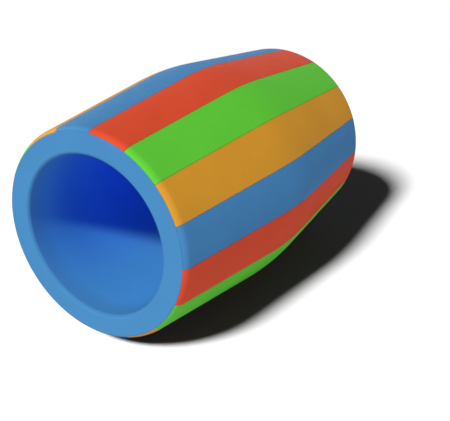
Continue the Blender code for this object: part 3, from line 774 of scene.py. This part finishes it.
def turned_sheet(name, line, sewn, seed, finish, facing):
    """A line of (radius, place, direction) rows as a full turn. Direction is the angle that
    the face looks in, from outwards to along Y, and each point is sunk against it by the
    edge's depth and the puckers. Sewn says which ends have a rolled edge. The line starts at
    the mouth, whose seam gets no painted shade, so only the other seam is darkened."""
    line = np.array(line)
    steps = np.hypot(*np.diff(line[:, :2], axis=0).T)
    length = np.concatenate([[0], np.cumsum(steps)])
    lead, tail = (EDGE_DISTANCE if is_sewn else np.zeros(1) for is_sewn in sewn)
    lead_depth, tail_depth = (EDGE_DEPTH if is_sewn else np.zeros(1) for is_sewn in sewn)
    inner = length[(length > ROLL * 1.05) & (length < length[-1] - ROLL * 1.05)]
    rows = np.concatenate([lead, inner, (length[-1] - tail)[::-1]])
    depth = np.concatenate([lead_depth, np.zeros(len(inner)), tail_depth[::-1]])[:, None]
    radius, place, direction = (np.interp(rows, length, line[:, k])[:, None] for k in range(3))
    no_seam = np.full(len(rows), np.inf)
    from_mouth = (rows if sewn[0] else no_seam)[:, None]
    from_rim = (length[-1] - rows if sewn[1] else no_seam)[:, None]
    hollow = puckers(ROUND * radius.mean(), np.minimum(from_mouth, from_rim), seed) * (depth == 0)
    sunk = depth + hollow
    points = around(radius - np.cos(direction) * sunk, ROUND, place - np.sin(direction) * sunk)
    down = depth > ROLL
    # Painted shade: the vinyl is darkened beside the rim's seam only.
    shade = np.broadcast_to(seam_shade(from_rim - down), points.shape[:2])
    piece = sheet_piece(name, points, finish, facing, VINYL, wrap=True, seam=shade)
    return piece


print("turned sheets have", ROUND_COUNT, "steps round")

# %% End rings
MOUTH_RADIUS = BORE_RADIUS + BORE_EDGE
MOUTH_SEAM = -3 * math.pi / 4
EDGE_POINTS, FLAT_POINTS = 7, 12


def rounded(centre, radius, start, end):
    """A rounded edge at the near end: the points of a circle between two directions of its
    face, with the circle's centre one radius behind the end."""
    return [
        (centre + radius * math.cos(t), -HALF + radius * (1 + math.sin(t)), t)
        for t in np.linspace(start, end, EDGE_POINTS)
    ]


def ring_line():
    """The near end from the seam at the mouth, over the flat, to the seam at the rim."""
    mouth = rounded(MOUTH_RADIUS, BORE_EDGE, MOUTH_SEAM, -math.pi / 2)
    rim = rounded(RIM_RADIUS + PRESSED, RING_EDGE, -math.pi / 2, -RIM_SEAM)
    flat = np.linspace(mouth[-1][0], rim[0][0], FLAT_POINTS)[1:-1]
    return mouth + [(r, -HALF, -math.pi / 2) for r in flat] + rim


def at_far_end(line):
    """The same line in the mirror, at the far end."""
    return [(r, -y, -t) for r, y, t in line]


for end, side, line in (("near", -1, ring_line()), ("far", 1, at_far_end(ring_line()))):
    ring = turned_sheet(f"ring_{end}", line, (True, True), 40 + side, VINYLS["blue"], (0, side, 0))
    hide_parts(f"end_ring_{end}")


# %% Lining and collar
LINING_POINTS, COLLAR_POINTS = 60, 6
# The way to the axis from the middle of a full turn, which is at half a turn.
TO_AXIS = (1, 0, 0)


def bore_line(end, count):
    """The near mouth's edge and then the straight bore, whose face looks at the axis, to a
    place along Y."""
    straight = np.linspace(BORE_EDGE - HALF, end, count)[1:]
    edge = rounded(MOUTH_RADIUS, BORE_EDGE, MOUTH_SEAM, -math.pi)
    return edge + [(BORE_RADIUS, y, -math.pi) for y in straight]


line = bore_line(ZIP_PLACE - ZIP_OPENING / 2, LINING_POINTS)
lining = turned_sheet("lining", line, (True, False), 51, LINING_WITH_PAINTED_BOUNCE, TO_AXIS)
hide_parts("bore_liner")
link_lamps([strip], lining, "lining_only", "INCLUDE")

line = at_far_end(bore_line(-(ZIP_PLACE + ZIP_OPENING / 2), COLLAR_POINTS))
collar = turned_sheet("collar", line, (True, False), 52, LINING_WITH_PAINTED_BOUNCE, TO_AXIS)
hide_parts("bore_collar")


# %% [markdown]
# ## The foam
#
# Inside the cover are sixteen wedges of foam. Each is an outline of radius and place, swept
# round through one panel's angle. The outline has slots in its ends for the rings' seam
# allowances and a shallow channel for the zip. The wedge narrows a little outwards, to
# leave room for the allowances between it and its neighbours.

# %% A wedge's outline
SLOT = SEAM_ALLOWANCE + GAP
# An edge's arc stops this far, as an angle, before the slot in it.
SLOT_CLEAR = math.radians(9)
ARC_POINTS, FOAM_SIDE_POINTS = 4, 60


def slot(centre, radius, direction):
    """A slot's four corners at the far end, square to a rounded edge: the two allowances
    and their vinyl fit in it, with a gap."""
    half = UNDER + GAP / 2
    top, bottom = radius - UNDER, radius - SLOT
    outwards = np.array([math.cos(direction), math.sin(direction)])
    along = np.array([-outwards[1], outwards[0]])
    corners = [(top, half), (bottom, half), (bottom, -half), (top, -half)]
    return [tuple(centre + outwards * reach + along * side) for reach, side in corners]


def arc(centre, radius, start, end):
    """Points of a circle about a centre, between two directions."""
    return [
        (centre[0] + radius * math.cos(t), centre[1] + radius * math.sin(t))
        for t in np.linspace(start, end, ARC_POINTS)
    ]


def foam_outline():
    """The closed outline of a wedge: the channel, the far end, the side and the near end."""
    reach = TAPE_WIDTH + GAP
    bore = BORE_RADIUS + UNDER
    channel = [
        (bore, ZIP_PLACE - reach), (CHANNEL_RADIUS, ZIP_PLACE - reach),
        (CHANNEL_RADIUS, ZIP_PLACE + reach), (bore, ZIP_PLACE + reach),
    ]
    mouth, rim = (MOUTH_RADIUS, HALF - BORE_EDGE), (RIM_RADIUS, RIM_PLACE)
    far_end = arc(mouth, BORE_EDGE - UNDER, math.pi, -MOUTH_SEAM + SLOT_CLEAR)
    far_end += slot(mouth, BORE_EDGE, -MOUTH_SEAM)
    far_end += arc(mouth, BORE_EDGE - UNDER, -MOUTH_SEAM - SLOT_CLEAR, math.pi / 2)
    far_end += arc(rim, RING_EDGE - UNDER, math.pi / 2, RIM_SEAM + 2 * SLOT_CLEAR)
    far_end += slot(rim, RING_EDGE, RIM_SEAM)
    length, radius, place, direction = SIDE
    start = UNDER + GAP
    spread = np.linspace(SIDE_LENGTH - start, start, FOAM_SIDE_POINTS)
    picks = np.interp(spread, length, np.arange(len(length))).astype(int)
    under_radius = radius[picks] - PRESSED - UNDER * np.cos(direction[picks])
    under_place = place[picks] - UNDER * np.sin(direction[picks])
    outer = list(zip(under_radius, under_place))
    return channel + far_end + outer + [(r, -y) for r, y in reversed(far_end)]


outline = foam_outline()
print("outline of", len(outline), "points")

# %% Foam wedges
FOAM_COLUMNS = 9
# How fast the gap between wedges widens outwards: it is full at 1 / 2.2 of the wall.
GAP_GROWTH = 2.2
SHARP_EDGE = math.radians(35)


def foam_wedge(number, outline):
    """The outline swept through the panel's angle, less a gap that widens outwards."""
    radius, place = np.array(outline).T[:, :, None]
    narrowing = (radius - BORE_RADIUS) / (MIDDLE_RADIUS - BORE_RADIUS)
    growth = np.clip(GAP_GROWTH * narrowing, 0, 1)
    half = PANEL_ANGLE / 2 - (GAP / 2 + UNDER * growth) / radius
    share = np.linspace(-1, 1, FOAM_COLUMNS)
    middle = FIRST_SEAM - (number + 0.5) * PANEL_ANGLE
    grid = around(radius, middle - half * share, place)
    rows = len(outline)
    index = np.arange(rows * FOAM_COLUMNS).reshape(rows, FOAM_COLUMNS)
    after = np.roll(index, -1, axis=0)
    quads = np.stack([index[:, :-1], after[:, :-1], after[:, 1:], index[:, 1:]], axis=-1)
    sides = [index[::-1, 0].tolist(), index[:, -1].tolist()]
    faces = quads.reshape(-1, 4).tolist() + sides
    piece = new_piece(f"foam_{number + 1:02d}", grid.reshape(-1, 3), faces, FOAM)
    piece.data.set_sharp_from_angle(angle=SHARP_EDGE)
    return piece


for number in range(PANEL_COUNT):
    wedge = foam_wedge(number, outline)
    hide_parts(f"foam_stave_{number + 1:02d}")
print(PANEL_COUNT, "wedges of", len(wedge.data.polygons), "faces")

# %% [markdown]
# ## The zip
#
# Two woven tapes lie behind the edges of the lining and the collar, which are stitched to
# them. On each tape is a coil: one long nylon thread wound into flattened loops. The coil
# is a small ellipse carried round the bore while it turns hundreds of times. A narrow way
# between the two coils lets the slider's neck pass.

# %% Tapes
TAPE_POINTS = 8
ZIP_SIDES = (("near", -1), ("far", 1))

for end, side in ZIP_SIDES:
    places = ZIP_PLACE + side * np.linspace(ZIP_WAY, TAPE_WIDTH, TAPE_POINTS)
    grid = around(TAPE_RADIUS, ROUND, places[:, None])
    tape = sheet_piece(f"tape_{end}", grid, TAPE, TO_AXIS, TAPE_THICKNESS, wrap=True)
    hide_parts(f"zip_tape_{end}")
print("tapes", round(TAPE_WIDTH - ZIP_WAY, 4), "m wide")


# %% Tube along a line
def tube(name, line, thickness, sides, finish):
    """A round tube along a line of points: a ring of points square to the line at each one,
    with closed ends. One of the ring's directions is square to the line and to the way out
    from the axis, the other is square to the line and to the first."""
    ahead = np.gradient(line, axis=0)
    ahead /= np.linalg.norm(ahead, axis=1)[:, None]
    out = line - np.array([0, 0, AXLE])
    out[:, 1] = 0
    out /= np.linalg.norm(out, axis=1)[:, None]
    first = np.cross(ahead, out)
    first /= np.linalg.norm(first, axis=1)[:, None]
    second = np.cross(ahead, first)
    turn = np.linspace(0, 2 * np.pi, sides, endpoint=False)[None, :, None]
    square = np.cos(turn) * first[:, None] + np.sin(turn) * second[:, None]
    ring = line[:, None] + thickness / 2 * square
    count = len(line)
    index = np.arange(count * sides).reshape(count, sides)
    after = np.roll(index, -1, axis=1)
    quads = np.stack([index[:-1], after[:-1], after[1:], index[1:]], axis=-1)
    caps = [index[0, ::-1].tolist(), index[-1].tolist()]
    faces = quads.reshape(-1, 4).tolist() + caps
    return new_piece(name, ring.reshape(-1, 3), faces, finish)


print("tube helper ready")

# %% Coils
COIL_THREAD = 0.0007
COIL_PITCH = 0.0018
COIL_POINTS = 12
COIL_SIDES = 5

for end, side in ZIP_SIDES:
    middle_radius = (COIL_FACE + COIL_BACK) / 2
    loops = round(COIL_TURN * middle_radius / COIL_PITCH)
    step = np.linspace(0, 1, loops * COIL_POINTS + 1)
    phase = 2 * np.pi * loops * step + (np.pi if side > 0 else 0)
    reach_across = (COIL_WIDTH - COIL_THREAD) / 2
    reach_out = (COIL_BACK - COIL_FACE - COIL_THREAD) / 2
    radius = middle_radius + reach_out * np.sin(phase)
    place = ZIP_PLACE + side * (ZIP_WAY + COIL_WIDTH / 2) + reach_across * np.cos(phase)
    angle = COIL_START - COIL_TURN * step
    coil = tube(f"coil_{end}", around(radius, angle, place), COIL_THREAD, COIL_SIDES, NYLON)
    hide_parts(f"zip_coil_{end}")
print("coils of", loops, "loops,", len(coil.data.polygons), "faces each")

# %% [markdown]
# The lining and the collar are stitched to the tapes close to their edges. Each stitch is a
# short rod with rounded ends, and all the stitches of a row are one mesh.

# %% Stitches
STITCH_LENGTH = 0.0030
STITCH_STEP = 0.0040
STITCH_THICKNESS = 0.0005
STITCH_INSET = 0.0035
STITCH_SIDES = 6
# A stitch has four rings of points. For each: its place along the stitch, its radius, and how
# far it dips into the vinyl. The end ones are thin and dip.
STITCH_PLACES = np.array([-1, -0.86, 0.86, 1])[:, None] * STITCH_LENGTH / 2
STITCH_GIRTHS = np.array([0.35, 1, 1, 0.35])[:, None] * STITCH_THICKNESS / 2
STITCH_DIPS = np.array([1, 0, 0, 1])[:, None] * STITCH_THICKNESS * 0.5
STITCH_RAISED = STITCH_THICKNESS * 0.15
STITCH_POINTS = len(STITCH_PLACES) * STITCH_SIDES


def stitch_row(name, place):
    """Short rods along the bore's circle, each of four rings of points round the rod's own
    line. They lie about a third sunk in the vinyl."""
    count = int(2 * math.pi * BORE_RADIUS / STITCH_STEP)
    turn = np.linspace(0, 2 * np.pi, STITCH_SIDES, endpoint=False)
    starts = np.linspace(0, 2 * np.pi, count, endpoint=False)[:, None, None]
    angle = starts + STITCH_PLACES / BORE_RADIUS + 0 * turn
    radius = BORE_RADIUS - STITCH_RAISED + STITCH_DIPS + STITCH_GIRTHS * np.sin(turn)
    points = around(radius, angle, place + STITCH_GIRTHS * np.cos(turn))
    local = np.arange(STITCH_POINTS).reshape(-1, STITCH_SIDES)
    after = np.roll(local, -1, axis=1)
    quads = np.stack([local[:-1], local[1:], after[1:], after[:-1]], axis=-1).reshape(-1, 4)
    firsts = STITCH_POINTS * np.arange(count)[:, None]
    all_quads = (quads + firsts[:, None]).reshape(-1, 4)
    caps = np.concatenate([local[0] + firsts, local[-1, ::-1] + firsts])
    piece = new_piece(name, points.reshape(-1, 3), all_quads.tolist() + caps.tolist(), THREAD)
    return piece


for end, side in ZIP_SIDES:
    row = stitch_row(f"stitches_{end}", ZIP_PLACE + side * (ZIP_OPENING / 2 + STITCH_INSET))
print("stitches in a row", len(row.data.vertices) // STITCH_POINTS)

# %% [markdown]
# The slider, its pull and the three stops keep their rigid shapes. Their triangles are
# welded. The slider and the pull also get a small bevel, so that light catches their edges.
# The stops' edges are bevelled already and stay as they are.

# %% Metal parts of the zip
WELD_DISTANCE = 0.00001
BEVEL_WIDTH = 0.00018
BEVEL_ANGLE = math.radians(25)
BEVELLED = ("zip_slider", "zip_pull")
STOPS = ("zip_top_stop_near", "zip_top_stop_far", "zip_bottom_stop")

for node in BEVELLED + STOPS:
    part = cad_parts[node]
    part.data.materials.clear()
    part.data.materials.append(METAL)
    weld = part.modifiers.new("weld", "WELD")
    weld.merge_threshold = WELD_DISTANCE
for node in BEVELLED:
    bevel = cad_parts[node].modifiers.new("bevel", "BEVEL")
    bevel.width = BEVEL_WIDTH
    bevel.segments = 2
    bevel.limit_method = "ANGLE"
    bevel.angle_limit = BEVEL_ANGLE
    bevel.harden_normals = False
print("metal parts", len(BEVELLED + STOPS), "of them bevelled", len(BEVELLED))
